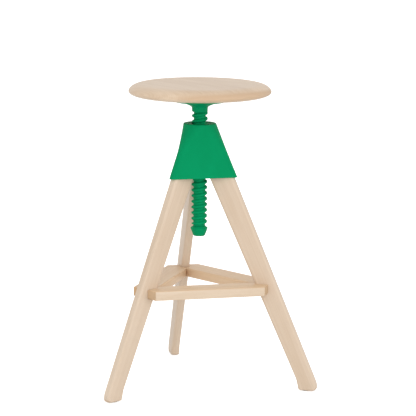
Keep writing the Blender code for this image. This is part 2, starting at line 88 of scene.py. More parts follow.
# ---- shapes the frame's boxes don't give --------------------------------------------------------
GAP = 0.0003                # between pieces that fit closely
OPEN_GAP = 0.0004           # between a leg and its socket in the hub
CUT_PAST = 0.0040           # how far a small cutter starts outside the solid
CUT_CLEAR = 0.0100          # and a larger one
CUT_FAR = 0.0300            # and one that opens the whole hub

SEAT_SIDES = 128
SEAT_WIDEST = 0.0106        # height of the widest girth over the seat's underside
SEAT_ROUND_ABOVE = 0.0330   # how far the rounding reaches in from the girth, above it
SEAT_ROUND_BELOW = 0.0290   # and below it
SEAT_GRAIN_AZIMUTH = -24.0
SEAT_STAVE = 0.080          # width of the boards that the seat is glued from

HUB_TOP_RADIUS = 0.0366
HUB_CORNER_RADIUS = 0.0115
HUB_ROUND_SHARE = 0.55      # share of the height over which the round top turns into a triangle
HUB_ROUND_POWER = 1.5
HUB_WALL = 0.0040
HUB_TUBE_RADIUS = 0.0272    # outside of the tube that holds the nut
HUB_TOP_EDGE = 0.0015
HUB_SOLE_EDGE = 0.0008
SOCKET_WALL = 0.0036
SOCKET_BOTTOM = 0.470       # below the hub's underside, so the socket is open there

LEG_EDGE_RADIUS = 0.0060
LEG_OUTER_AT_HUB = 0.0810   # distance from the axis where the leg leaves the hub
LEG_INNER_AT_HUB = 0.0240
LEG_OUTER_SPLAY = 0.429     # reach gained for each unit of height lost
LEG_INNER_SPLAY = 0.460
LEG_TENON_INNER = 0.0260
LEG_SHOULDER = 0.4812
LEG_STRAIGHT_FROM = 0.0300  # the foot's shaping ends below this height
TOE_BEND_TOP = 0.0250       # below this height the outer edge turns upright
TOE_HEIGHT = 0.0090         # and below this one it rounds in to the sole
HEEL_TOP = 0.0270           # below this height the inner edge swells inwards
HEEL_SWELL = 0.0058
HEEL_POWER = 1.2
SOLE_EDGE = 0.0025
SOLE_OUTER_SHARE = 0.4      # the sole's edge is rounded less on the outside
FOOT_LEVELS = (0.0040, 0.0050, 0.0060, 0.0075, 0.0090, 0.0110, 0.0130, 0.0150, 0.0170, 0.0190,
               0.0210, 0.0230, 0.0250, HEEL_TOP, LEG_STRAIGHT_FROM)

GLIDE_STEM_RADIUS = 0.0025
GLIDE_DISC = 0.0040         # thickness of the glide's disc
GLIDE_RECESS = 0.0043       # depth of its recess, from the floor

RAIL_INNER = 0.0610         # distance of the rail's inner face from the axis
RAIL_FACET = 0.1652         # the rail's acute end is cut square to the leg at this distance
RAIL_EDGE = 0.0020
DOWEL_HALF_LENGTH = 0.0260
DOWEL_CHAMFER = 0.0012
DOWEL_BORE_REACH = 0.0150   # the leg's bores run this far to each side of its middle

PITCH = 0.0130
THREAD_PHASE_Z = 0.6061     # a ridge starts at this height on the +X side
THREAD_MAJOR = 0.0178
THREAD_MINOR = 0.0134
THREAD_BOTTOM = 0.3662
THREAD_TOP = 0.6250
THREAD_RUNOUT = 0.0030      # length over which the thread runs out at each end
CREST_MIDDLE = 0.175        # shares of the pitch
CREST_HALF = 0.175
CREST_SHOULDER = 0.045
FLANK = 0.225
FLANK_EASE = 0.030
CROWN = 0.0003              # how much the crest drops towards its shoulders
FLANGE_FLARE = ((0.0178, 0.6310), (0.0184, 0.6336), (0.0199, 0.6356), (0.0230, 0.6374),
                (0.0272, 0.6393), (0.0330, 0.6415), (0.0430, 0.6440), (0.0590, 0.6466))
FLANGE_EDGE = 0.0025

NUT_RADIUS = 0.0221
NUT_THREAD_BOTTOM = 0.5370
NUT_THREAD_TOP = 0.5950
NUT_COLLAR_BOTTOM = 0.5925
NUT_BORE = 0.0185
NUT_CLEARANCE = 0.0005
KEY_AZIMUTHS = (30, 150, 270)
KEY_HALF_WIDTH = 0.0030
KEY_ROOT = 0.0015           # the keys start this far inside the nut's wall
KEY_REACH = 0.0243
KEY_BOTTOM, KEY_TOP = 0.5000, 0.5900
MOUTH_DEPTH = 0.0006        # the chamfer round the hub's mouth starts this far down
MOUTH_RISE = 0.0004         # and its cutter ends this far over the top
MOUTH_CHAMFER = 0.0010

STOP_WIDEST = 0.3593
STOP_FLANKS = ((0.0137, 0.3430, 0.0035), (0.0188, 0.3568, 0.0060))   # radius, height, rounding
STOP_TIP_RADIUS = 0.0122
STOP_SEAT_Z = 0.3490        # the washer's seat in the counterbore
STOP_COUNTERBORE = 0.0080
WASHER_EDGE = 0.00025

# a pan head's radius and height, the shank's radius and half the width of the cross
WOOD_SCREW = {"shank": 0.0020, "head": 0.0042, "head_height": 0.0026, "cross": 0.0021}
SEAT_SCREW = {"shank": 0.0023, "head": 0.0046, "head_height": 0.0030, "cross": 0.0024}
STOP_SCREW = {"shank": 0.0030, "head": 0.0050, "head_height": 0.0040, "cross": 0.0028}
WOOD_PITCH, MACHINE_PITCH = 0.0011, 0.0014
SCREW_THREAD_START = 0.0015
SCREW_SIDES = 36

SIDES = 96                  # of a round piece
HOLE_SIDES = 24
MERGE = 1e-7                # points closer than this are one point
SHARP_ANGLE = 32.0          # edges sharper than this many degrees are shaded as edges


# ---- mesh helpers -------------------------------------------------------------------------------
def eased(share):
    return share * share * (3 - 2 * share)


def polar(radius, angle, z):
    return Vector((radius * math.cos(angle), radius * math.sin(angle), z))


def skin(bm, rings, closed=False, capped=True):
    """Joins rings of points one after another; a ring of one point is a pole."""
    rows = [[bm.verts.new(point) for point in ring] for ring in rings]
    pairs = list(zip(rows, rows[1:])) + ([(rows[-1], rows[0])] if closed else [])
    for low, high in pairs:
        for k in range(max(len(low), len(high))):
            corners = (low[k % len(low)], low[(k + 1) % len(low)],
                       high[(k + 1) % len(high)], high[k % len(high)])
            corners = list(dict.fromkeys(corners))
            if len(corners) > 2:
                bm.faces.new(corners)
    if capped and not closed:
        for row in (rows[0], rows[-1]):
            if len(row) > 2:
                bm.faces.new(row)
    bmesh.ops.remove_doubles(bm, verts=bm.verts, dist=MERGE)
    return bm


def circle(radius, z, sides=SIDES):
    if radius < 1e-6:
        return [Vector((0, 0, z))]
    return [polar(radius, 2 * math.pi * k / sides, z) for k in range(sides)]


def rounded(corners, steps=5):
    """A polyline of (x, y, corner radius) as points, with its corners rounded."""
    points = []
    for i, (x, y, radius) in enumerate(corners):
        if radius <= 0 or i in (0, len(corners) - 1):
            points.append((x, y))
            continue
        here = Vector((x, y))
        back = (Vector(corners[i - 1][:2]) - here).normalized()
        ahead = (Vector(corners[i + 1][:2]) - here).normalized()
        half = back.angle(ahead) / 2
        center = here + (back + ahead).normalized() * (radius / math.sin(half))
        start = here + back * (radius / math.tan(half)) - center
        end = here + ahead * (radius / math.tan(half)) - center
        first = math.atan2(start.y, start.x)
        sweep = (math.atan2(end.y, end.x) - first + math.pi) % (2 * math.pi) - math.pi
        for k in range(steps + 1):
            angle = first + sweep * k / steps
            points.append((center.x + radius * math.cos(angle), center.y + radius * math.sin(angle)))
    return points


def flowing(points, steps=6):
    """A smooth curve through 2-D points."""
    ends = [tuple(2 * a - b for a, b in zip(points[0], points[1])),
            tuple(2 * a - b for a, b in zip(points[-1], points[-2]))]
    line = [ends[0], *points, ends[1]]
    curve = []
    for a, b, c, d in zip(line, line[1:], line[2:], line[3:]):
        for k in range(steps):
            t = k / steps
            curve.append(tuple(
                0.5 * (2 * q + (r - p) * t + (2 * p - 5 * q + 4 * r - s) * t ** 2
                       + (3 * q - p - 3 * r + s) * t ** 3) for p, q, r, s in zip(a, b, c, d)))
    return curve + [points[-1]]


def lathe(profile, sides=SIDES, closed=False):
    return skin(bmesh.new(), [circle(radius, z, sides) for radius, z in profile], closed=closed)


def box(low, high):
    corners = ((low[0], low[1]), (high[0], low[1]), (high[0], high[1]), (low[0], high[1]))
    return skin(bmesh.new(), [[Vector((x, y, z)) for x, y in corners] for z in (low[2], high[2])])


def laid(bm, origin, direction):
    """What was drawn along +Z, turned to run along a direction and moved to its origin."""
    turn = Vector((0, 0, 1)).rotation_difference(Vector(direction)).to_matrix().to_4x4()
    bm.transform(Matrix.Translation(Vector(origin)) @ turn)
    return bm


def about_axis(azimuth):
    return Matrix.Rotation(math.radians(azimuth), 4, "Z")


def turned_to(bm, azimuth):
    bm.transform(about_axis(azimuth))
    return bm


def combined(bm, other, operation="DIFFERENCE"):
    """One solid cut from another, or joined to it."""
    things = []
    for source in (bm, other):
        bmesh.ops.recalc_face_normals(source, faces=source.faces)
        mesh = bpy.data.meshes.new("shape")
        source.to_mesh(mesh)
        source.free()
        thing = bpy.data.objects.new("shape", mesh)
        scene.collection.objects.link(thing)
        things.append(thing)
    modifier = things[0].modifiers.new("combine", "BOOLEAN")
    modifier.solver = "EXACT"
    modifier.operation = operation
    modifier.object = things[1]
    result = bmesh.new()
    result.from_object(things[0], bpy.context.evaluated_depsgraph_get())
    for thing in things:
        mesh = thing.data
        bpy.data.objects.remove(thing)
        bpy.data.meshes.remove(mesh)
    return result


def softened(bm, width, angle=40.0, segments=2):
    """The solid with its sharp edges rounded off."""
    edges = [edge for edge in bm.edges
             if len(edge.link_faces) == 2 and edge.calc_face_angle(0.0) > math.radians(angle)]
    bmesh.ops.bevel(bm, geom=edges, offset=width, segments=segments, profile=0.5, affect="EDGES",
                    clamp_overlap=True)
    return bm


def add_piece(name, bm, body, finish, azimuth=0.0, grain=None, painted_shade=None):
    """A finished piece in its place.  grain turns the piece's own directions into the board's, and the
    last argument gives, from a face's normal, how much painted shade (a warm, darker tint) a face
    takes."""
    bmesh.ops.recalc_face_normals(bm, faces=bm.faces)
    if grain is not None:
        along = (grain.to_3x3().inverted() @ Vector((0, 0, 1))).normalized()
        places = bm.verts.layers.float_vector.new("grain")
        for vert in bm.verts:
            vert[places] = grain @ vert.co
        ends = bm.faces.layers.float.new("end_grain")
        for face in bm.faces:
            face[ends] = min(1.0, max(0.0, (abs(face.normal.dot(along)) - 0.45) / 0.25))
    # painted shade: each face's share of the warm, darker tint, set from its normal
    if painted_shade is not None:
        shown = bm.faces.layers.float.new("painted_shade")
        for face in bm.faces:
            face[shown] = painted_shade(face.normal)
    bm.transform(Matrix.Translation(AXIS) @ about_axis(azimuth))
    mesh = bpy.data.meshes.new(name)
    bm.to_mesh(mesh)
    bm.free()
    for polygon in mesh.polygons:
        polygon.use_smooth = True
    mesh.set_sharp_from_angle(angle=math.radians(SHARP_ANGLE))
    mesh.materials.append(finish)
    piece = bpy.data.objects.new(name, mesh)
    scene.collection.objects.link(piece)
    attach(piece, body)
    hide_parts(name.removeprefix("look_"))


# ---- materials ----------------------------------------------------------------------------------
class Shader:
    """A material's nodes, written one value after another."""

    def __init__(self, name, roughness, **sockets):
        self.material = bpy.data.materials.new(name)
        self.material.use_nodes = True
        self.nodes = self.material.node_tree.nodes
        self.links = self.material.node_tree.links
        self.surface = self.nodes["Principled BSDF"]
        self.surface.inputs["Roughness"].default_value = roughness
        for socket, value in sockets.items():
            self.surface.inputs[socket.replace("_", " ")].default_value = value

    def node(self, kind, inputs=None, output=0, **settings):
        node = self.nodes.new("ShaderNode" + kind)
        for key, value in settings.items():
            setattr(node, key, value)
        for key, value in (inputs or {}).items():
            self.feed(node.inputs[key], value)
        return node.outputs[output]

    def feed(self, socket, value):
        if isinstance(value, bpy.types.NodeSocket):
            self.links.new(value, socket)
        else:
            socket.default_value = value

    def math(self, operation, *values, clamp=False):
        return self.node("Math", dict(enumerate(values)), operation=operation, use_clamp=clamp)

    def scaled(self, vector, factors):
        return self.node("VectorMath", {0: vector, 1: factors}, operation="MULTIPLY")

    def noise(self, vector, scale=1.0, detail=2.0, roughness=0.5, distortion=0.0):
        return self.node("TexNoise", {"Vector": vector, "Scale": scale, "Detail": detail,
                                      "Roughness": roughness, "Distortion": distortion})

    def steps(self, value, low, high, bottom=0.0, top=1.0):
        return self.node("MapRange", {"Value": value, "From Min": low, "From Max": high,
                                      "To Min": bottom, "To Max": top}, clamp=True)

    def blend(self, factor, first, second, mode="MIX"):
        node = self.nodes.new("ShaderNodeMix")
        node.data_type, node.blend_type = "RGBA", mode
        for socket, value in ((0, factor), (6, first), (7, second)):
            self.feed(node.inputs[socket], value)
        return node.outputs[2]

    def color(self, value):
        self.feed(self.surface.inputs["Base Color"], value)

    def roughness(self, value):
        self.feed(self.surface.inputs["Roughness"], value)

    def bump(self, height, strength, distance):
        self.feed(self.surface.inputs["Normal"],
                  self.node("Bump", {"Height": height, "Strength": strength, "Distance": distance}))


PAINTED_SHADE_TINT = (1.06, 0.965, 0.85, 1)     # painted shade: a warm, darker tint multiplied into the wood's colour where a face stands in shade
BEECH_ROUGHNESS = 0.36
RINGS_PER_METRE = 410.0
PITH = (0.021, 0.062)                  # how far the tree's middle lies outside the board
RING_WANDER = 0.018
MOULD_TEXTURE = 0.00045                # size of the spark-eroded texture
MOULD_RELIEF = 0.00003


def beech(name, light, dark, end, stave=None, from_object=False, gloss=0.25):
    """Lacquered beech: growth rings, fine fibres, short dark ray flecks, browner end grain.
    The board runs along Z; a stave width joins boards side by side across X."""
    shader = Shader(name, BEECH_ROUGHNESS, IOR=1.5, Specular_IOR_Level=gloss,
                    Coat_Weight=gloss / 2, Coat_Roughness=0.25)
    if from_object:
        place = shader.node("TexCoord", output=3)
        across_end = 0.0
    else:
        place = shader.node("Attribute", output=1, attribute_name="grain")
        across_end = shader.node("Attribute", output=2, attribute_name="end_grain")
    tone = 0.0
    if stave:
        x, y, z = (shader.node("SeparateXYZ", {0: place}, output=i) for i in range(3))
        count = shader.math("FLOOR", shader.math("DIVIDE", x, stave))
        chance = shader.node("TexWhiteNoise", {"W": count}, noise_dimensions="1D")
        shift = shader.node("CombineXYZ", {0: shader.math("MULTIPLY", chance, 0.7),
                                           1: shader.math("MULTIPLY", count, 0.11),
                                           2: shader.math("MULTIPLY", chance, 3.1)})
        place = shader.node("VectorMath", {0: place, 1: shift}, operation="ADD")
        tone = shader.steps(chance, 0.0, 1.0, -0.5, 0.5)
    # growth rings: distance from a pith that lies outside the board, a little wavy along it
    wander = shader.noise(shader.scaled(place, (5.0, 5.0, 1.6)), detail=2.0)
    x, y, z = (shader.node("SeparateXYZ", {0: place}, output=i) for i in range(3))
    from_pith = shader.node("CombineXYZ", {0: shader.math("ADD", x, PITH[0]),
                                           1: shader.math("ADD", y, PITH[1]), 2: 0.0})
    radius = shader.node("VectorMath", {0: from_pith}, operation="LENGTH", output=1)
    radius = shader.math("ADD", radius, shader.math("MULTIPLY", wander, RING_WANDER))
    ring = shader.math("FRACT", shader.math("MULTIPLY", radius, RINGS_PER_METRE))
    year = shader.math("FLOOR", shader.math("MULTIPLY", radius, RINGS_PER_METRE))
    strength = shader.node("TexWhiteNoise", {"W": year}, noise_dimensions="1D")
    late = shader.math("MULTIPLY", shader.steps(ring, 0.35, 0.93),
                       shader.steps(ring, 1.0, 0.93))
    late = shader.math("MULTIPLY", late, shader.steps(strength, 0.0, 1.0, 0.25, 1.0))
    # fibres run the length of the board; rays show as short thin spindles
    fibres = shader.noise(shader.scaled(place, (1500.0, 1500.0, 22.0)), detail=3.0, roughness=0.6)
    streaks = shader.noise(shader.scaled(place, (160.0, 160.0, 3.0)), detail=3.0)
    cells = shader.node("TexVoronoi", {"Vector": shader.scaled(place, (1250.0, 1250.0, 330.0)),
                                       "Scale": 1.0, "Randomness": 1.0}, feature="F1")
    flecks = shader.steps(cells, 0.30, 0.16)
    patchy = shader.noise(shader.scaled(place, (90.0, 90.0, 40.0)), detail=1.0)
    flecks = shader.math("MULTIPLY", flecks, shader.steps(patchy, 0.42, 0.58))
    cloud = shader.noise(shader.scaled(place, (14.0, 14.0, 3.5)), detail=2.0)
    amount = shader.math("MULTIPLY_ADD", late, 0.30, shader.steps(streaks, 0.3, 0.7, 0.0, 0.34))
    amount = shader.math("MULTIPLY_ADD", shader.steps(fibres, 0.3, 0.7), 0.16, amount)
    amount = shader.math("MULTIPLY_ADD", flecks, 0.34, amount)
    amount = shader.math("ADD", amount, shader.steps(cloud, 0.3, 0.7, -0.14, 0.20))
    amount = shader.math("ADD", amount, shader.math("MULTIPLY", tone, 0.4), clamp=True)
    wood = shader.blend(amount, light, dark)
    rings = shader.math("MULTIPLY_ADD", late, 0.35, shader.math("MULTIPLY", flecks, 0.25))
    wood = shader.blend(across_end, wood, shader.blend(rings, end, dark))
    # painted shade: the faces a piece marks take the warm, darker tint that stands in for shade and
    # warm bounce light
    shade_share = shader.node("Attribute", output=2, attribute_name="painted_shade")
    wood = shader.blend(shade_share, wood, PAINTED_SHADE_TINT, "MULTIPLY")
    shader.color(wood)
    shader.roughness(shader.math("ADD", shader.steps(fibres, 0.3, 0.7, 0.30, 0.40),
                                 shader.math("MULTIPLY", across_end, 0.16)))
    relief = shader.math("MULTIPLY_ADD", flecks, -0.5, fibres)
    shader.bump(relief, 0.22, 0.00006)
    return shader.material


def moulded(name, base, pale, roughness, **sockets):
    """Moulded plastic: a fine spark-eroded texture and a faint cloudiness from the flow."""
    shader = Shader(name, roughness, IOR=1.49, **sockets)
    place = shader.node("TexCoord", output=3)
    texture = shader.noise(place, 1.0 / MOULD_TEXTURE, detail=3.0, roughness=0.6)
    flow = shader.noise(shader.scaled(place, (26.0, 26.0, 9.0)), detail=3.0, distortion=0.6)
    specks = shader.noise(place, 700.0, detail=1.0)
    shader.color(shader.blend(shader.math("MULTIPLY_ADD", shader.steps(specks, 0.55, 0.8), 0.35,
                                          shader.steps(flow, 0.3, 0.7, 0.0, 0.65)), base, pale))
    shader.roughness(shader.math("ADD", shader.steps(texture, 0.3, 0.7, -0.05, 0.05),
                                 shader.steps(flow, 0.3, 0.7, roughness - 0.03, roughness + 0.05)))
    shader.bump(texture, 0.5, MOULD_RELIEF)
    return shader.material


def plated(name):
    """Zinc-plated steel: bright, with faint turning marks and cloudy passivation."""
    shader = Shader(name, 0.32, Metallic=1.0)
    place = shader.node("TexCoord", output=3)
    cloud = shader.noise(place, 420.0, detail=3.0, roughness=0.6)
    marks = shader.noise(place, 5200.0, detail=2.0)
    shader.color(shader.blend(shader.steps(cloud, 0.3, 0.7),
                              (0.50, 0.51, 0.54, 1), (0.69, 0.68, 0.63, 1)))
    shader.roughness(shader.steps(cloud, 0.25, 0.75, 0.24, 0.42))
    shader.bump(marks, 0.3, 0.00001)
    return shader.material


# the wood's pale and dark colours, and its end grain's
LEG_BEECH = beech("beech_leg", (0.715, 0.588, 0.466, 1), (0.572, 0.428, 0.298, 1),
                  (0.58, 0.42, 0.29, 1))
RAIL_BEECH = beech("beech_rail", (0.715, 0.588, 0.458, 1), (0.575, 0.415, 0.272, 1),
                   (0.57, 0.40, 0.25, 1), gloss=0.12)
SEAT_BEECH = beech("beech_seat", (0.715, 0.560, 0.412, 1), (0.560, 0.395, 0.255, 1),
                   (0.58, 0.41, 0.27, 1), stave=SEAT_STAVE)
DOWEL_BEECH = beech("beech_dowel", (0.735, 0.600, 0.470, 1), (0.580, 0.430, 0.300, 1),
                    (0.46, 0.29, 0.17, 1), from_object=True)
GREEN = moulded("green_moulded", (0.000, 0.262, 0.098, 1), (0.001, 0.300, 0.118, 1), 0.50,
                Specular_IOR_Level=0.05)
GREEN_NUT = moulded("green_nut", (0.000, 0.150, 0.055, 1), (0.001, 0.180, 0.070, 1), 0.45,
                    Specular_IOR_Level=0.05)
GREY = moulded("glide_moulded", (0.40, 0.39, 0.37, 1), (0.52, 0.51, 0.48, 1), 0.55)
ZINC = plated("zinc_plated")


# ---- seat ---------------------------------------------------------------------------------------
def make_seat():
    girth = SEAT_BOTTOM + SEAT_WIDEST
    shares = (0.0, 0.3, 0.6, 0.85)
    profile = [(share * (SEAT_RADIUS - SEAT_ROUND_BELOW), SEAT_BOTTOM) for share in shares]
    for angle in (math.radians(a) for a in range(-90, 91, 6)):
        inward = SEAT_ROUND_BELOW if angle < 0 else SEAT_ROUND_ABOVE
        rise = SEAT_WIDEST if angle < 0 else SEAT_TOP - girth
        profile.append((SEAT_RADIUS - inward * (1 - math.cos(angle)), girth + rise * math.sin(angle)))
    profile += [(share * (SEAT_RADIUS - SEAT_ROUND_ABOVE), SEAT_TOP) for share in reversed(shares)]
    seat = lathe(profile, SEAT_SIDES)
    for i in range(4):
        place = middle(f"seat_screw_{i + 1}")
        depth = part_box(f"seat_screw_{i + 1}")[1][2] + GAP
        hole = lathe([(0, SEAT_BOTTOM - CUT_PAST), (SEAT_SCREW["shank"] + GAP, SEAT_BOTTOM - CUT_PAST),
                      (SEAT_SCREW["shank"] + GAP, depth), (0, depth)], HOLE_SIDES)
        seat = combined(seat, laid(hole, (place.x, place.y, 0), (0, 0, 1)))
    # the translation picks the place in the tree that the board is cut from
    grain = Matrix.Rotation(math.radians(90), 4, "X") @ about_axis(SEAT_GRAIN_AZIMUTH)
    grain = Matrix.Translation((0.531, 0.274, 0.412)) @ grain
    add_piece("look_seat", seat, "seat_turn", SEAT_BEECH, grain=grain)


# ---- spindle ------------------------------------------------------------------------------------
def thread_radius(at, swell=0.0):
    """Radius at a share of the pitch: a broad crest with soft shoulders and a narrow groove."""
    away = abs((at - CREST_MIDDLE + 0.5) % 1.0 - 0.5)
    share = eased(min(1.0, max(0.0, (away - CREST_HALF + CREST_SHOULDER) / (FLANK + FLANK_EASE))))
    crown = CROWN * min(1.0, away / CREST_HALF) ** 2
    return THREAD_MAJOR - crown * (1 - share) - (THREAD_MAJOR - THREAD_MINOR) * share + swell


def thread_skin(bm, z_low, z_high, swell, ends, rows=16):
    """An open helical surface between two heights; its radius runs out to that of each end."""
    turns_down = math.ceil((THREAD_PHASE_Z - z_low) / PITCH) + 2
    turns = math.ceil((z_high - z_low) / PITCH) + 4
    columns = []
    for i in range(SIDES):
        column = []
        for row in range(rows * turns):
            z = THREAD_PHASE_Z + PITCH * (row / rows - turns_down + i / SIDES)
            z = min(max(z, z_low), z_high)
            radius = thread_radius((z - THREAD_PHASE_Z) / PITCH - i / SIDES, swell)
            low = eased(min(1.0, (z - z_low) / THREAD_RUNOUT))
            high = eased(min(1.0, (z_high - z) / THREAD_RUNOUT))
            radius = ends[0] + (radius - ends[0]) * low
            radius = ends[1] + (radius - ends[1]) * high
            column.append(bm.verts.new(polar(radius, 2 * math.pi * i / SIDES, z)))
        columns.append(column)
    for i in range(SIDES):
        here, there = columns[i], columns[(i + 1) % SIDES]
        shift = rows if i == SIDES - 1 else 0
        for row in range(rows * turns - 1 - shift):
            a, b = here[row], here[row + 1]
            c, d = there[row + shift + 1], there[row + shift]
            if (a.co - b.co).length > 1e-9 or (c.co - d.co).length > 1e-9:
                bm.faces.new((a, b, c, d))
    bmesh.ops.remove_doubles(bm, verts=bm.verts, dist=MERGE)
    bmesh.ops.dissolve_degenerate(bm, edges=bm.edges, dist=MERGE)


def make_spindle():
    bm = bmesh.new()
    thread_skin(bm, THREAD_BOTTOM, THREAD_TOP, 0.0, (THREAD_MINOR, THREAD_MAJOR), rows=18)
    tip = rounded([(0, SPINDLE_BOTTOM, 0), (THREAD_MINOR, SPINDLE_BOTTOM, 0.0006),
                   (THREAD_MINOR, THREAD_BOTTOM, 0)], 3)
    skin(bm, [circle(r, z) for r, z in tip], capped=False)
    flare = [(THREAD_MAJOR, THREAD_TOP)] + flowing(FLANGE_FLARE, 7)
    brim = FLANGE_FLARE[-1]
    rim = rounded([(*brim, 0), (FLANGE_RADIUS, brim[1] + FLANGE_EDGE, 0.0014),
                   (FLANGE_RADIUS, FLANGE_TOP, 0.0009), (0, FLANGE_TOP, 0)], 4)
    skin(bm, [circle(r, z) for r, z in flare + rim[1:]], capped=False)
    bmesh.ops.remove_doubles(bm, verts=bm.verts, dist=MERGE)
    shank = STOP_SCREW["shank"] + GAP
    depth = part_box("end_stop_screw")[1][2] + GAP
    bm = combined(bm, lathe([(0, SPINDLE_BOTTOM - CUT_PAST), (shank, SPINDLE_BOTTOM - CUT_PAST),
                             (shank, depth), (0, depth)], HOLE_SIDES))
    for i in range(4):
        place = middle(f"seat_screw_{i + 1}")
        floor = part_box(f"seat_screw_{i + 1}")[0][2] + SEAT_SCREW["head_height"] + GAP
        head, shank = SEAT_SCREW["head"] + GAP, SEAT_SCREW["shank"] + GAP
        hole = lathe([(0, THREAD_TOP), (head, THREAD_TOP), (head, floor), (shank, floor),
                      (shank, SEAT_BOTTOM), (0, SEAT_BOTTOM)], 32)
        bm = combined(bm, laid(hole, (place.x, place.y, 0), (0, 0, 1)))
    add_piece("look_spindle", bm, "seat_turn", GREEN)


def make_end_stop():
    shank = STOP_SCREW["shank"] + GAP
    profile = rounded([(STOP_COUNTERBORE, STOP_SEAT_Z, 0), (STOP_COUNTERBORE, STOP_BOTTOM, 0.0008),
                       (STOP_TIP_RADIUS, STOP_BOTTOM, 0.0011), *STOP_FLANKS,
                       (STOP_RADIUS, STOP_WIDEST - 0.0004, 0.0012),
                       (THREAD_MINOR + GAP, STOP_TOP, 0.0008), (shank, STOP_TOP, 0.0003),
                       (shank, STOP_SEAT_Z, 0.0003), (STOP_COUNTERBORE, STOP_SEAT_Z, 0)], 5)
    add_piece("look_end_stop", lathe(profile[:-1], closed=True), "seat_turn", GREEN)
    washer = rounded([(WASHER_RADIUS, (WASHER_BOTTOM + WASHER_TOP) / 2, 0),
                      (WASHER_RADIUS, WASHER_TOP, WASHER_EDGE), (shank, WASHER_TOP, WASHER_EDGE),
                      (shank, WASHER_BOTTOM, WASHER_EDGE),
                      (WASHER_RADIUS, WASHER_BOTTOM, WASHER_EDGE),
                      (WASHER_RADIUS, (WASHER_BOTTOM + WASHER_TOP) / 2, 0)], 3)
    add_piece("look_end_stop_washer", lathe(washer[:-1], closed=True), "spindle_lift", ZINC)


def make_nut():
    bm = bmesh.new()
    thread_skin(bm, NUT_THREAD_BOTTOM, NUT_THREAD_TOP, NUT_CLEARANCE, (NUT_BORE, NUT_BORE))
    shell = rounded([(NUT_BORE, NUT_THREAD_BOTTOM, 0), (NUT_BORE, NUT_BOTTOM, 0.0006),
                     (NUT_RADIUS, NUT_BOTTOM, 0.0008), (NUT_RADIUS, NUT_COLLAR_BOTTOM, 0.0004),
                     (NUT_COLLAR_RADIUS, NUT_COLLAR_BOTTOM, 0.0004),
                     (NUT_COLLAR_RADIUS, NUT_TOP, 0.0005), (NUT_BORE, NUT_TOP, 0.0006),
                     (NUT_BORE, NUT_THREAD_TOP, 0)], 4)
    skin(bm, [circle(r, z) for r, z in shell], capped=False)
    bmesh.ops.remove_doubles(bm, verts=bm.verts, dist=MERGE)
    for azimuth in KEY_AZIMUTHS:
        key = box((NUT_BORE + KEY_ROOT, -KEY_HALF_WIDTH, KEY_BOTTOM),
                  (KEY_REACH, KEY_HALF_WIDTH, KEY_TOP))
        bm = combined(bm, turned_to(softened(key, 0.0004), azimuth), "UNION")
    add_piece("look_spindle_nut", bm, "frame", GREEN_NUT)


# ---- hub ----------------------------------------------------------------------------------------
def hub_ring(z, inset=0.0, arc=16):
    """A round at the top that turns into a triangle with rounded corners over the legs."""
    share = min(max((HUB_TOP - z) / (HUB_TOP - HUB_BOTTOM), 0.0), 1.2)
    fade = max(0.0, 1.0 - share / HUB_ROUND_SHARE) ** HUB_ROUND_POWER
    corner = HUB_CORNER_RADIUS + (HUB_TOP_RADIUS - HUB_CORNER_RADIUS) * fade
    reach = HUB_TOP_RADIUS + (HUB_CORNER_REACH - HUB_TOP_RADIUS) * share
    points = []
    for azimuth in LEGS.values():
        middle_angle = math.radians(azimuth)
        center = polar(reach - corner, middle_angle, z)
        for k in range(arc + 1):
            angle = middle_angle + math.radians(-60 + 120 * k / arc)
            points.append(center + polar(corner - inset, angle, 0))
        after = math.radians(azimuth + 60)
        start = points[-1]
        end = polar(reach - corner, math.radians(azimuth + 120), z) + polar(corner - inset, after, 0)
        points += [start.lerp(end, k / 8) for k in range(1, 8)]
    return points


